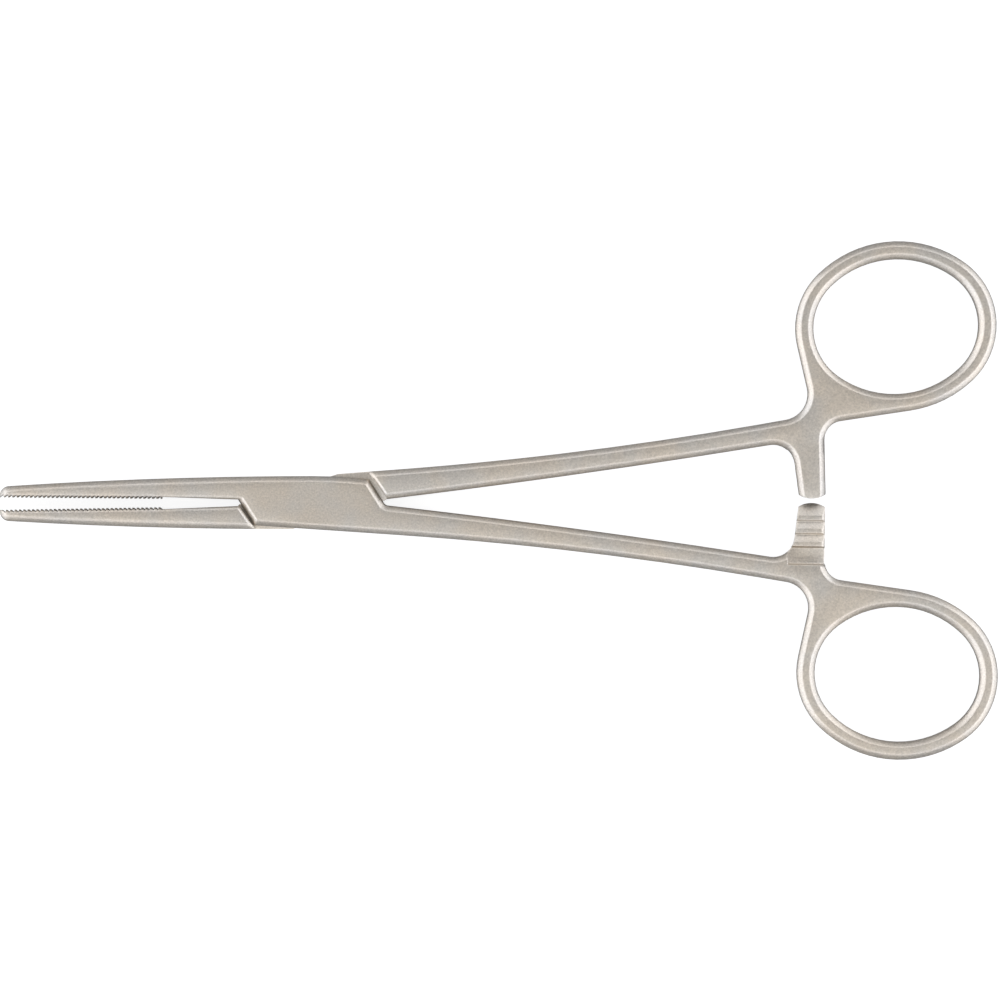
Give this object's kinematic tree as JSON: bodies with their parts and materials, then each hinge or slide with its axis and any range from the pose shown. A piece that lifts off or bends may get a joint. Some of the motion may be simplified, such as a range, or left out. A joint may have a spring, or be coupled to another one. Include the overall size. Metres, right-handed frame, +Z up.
{
  "type": "hemostat forceps",
  "caption": "Straight locking hemostat with a box lock, cross-serrated slender jaws, a barbed ratchet and oval finger rings, in satin stainless steel.",
  "frame": {"origin": "on the lock's axis, at the flat lower face of the lock that it rests on", "axes": "+X along the forceps towards the finger rings, tips towards -X, +Y towards the tongue half's ring, +Z up along the lock's axis, out of the face that looks up as it lies flat"},
  "size_m": [0.1598, 0.083, 0.0051],
  "materials": {
    "satin_steel": "satin, bead-blasted stainless steel"
  },
  "bodies": {
    "box_body": {"box_half": "satin_steel", "pivot_pin": "satin_steel"},
    "tongue_body": {"tongue_half": "satin_steel"}
  },
  "joints": [
    {"name": "lock_hinge", "type": "hinge", "parent": "box_body", "child": "tongue_body", "pos_m": [0, 0, 0.00255], "axis": [0, 0, 1], "range_deg": [-2.24, 60]}
  ]
}
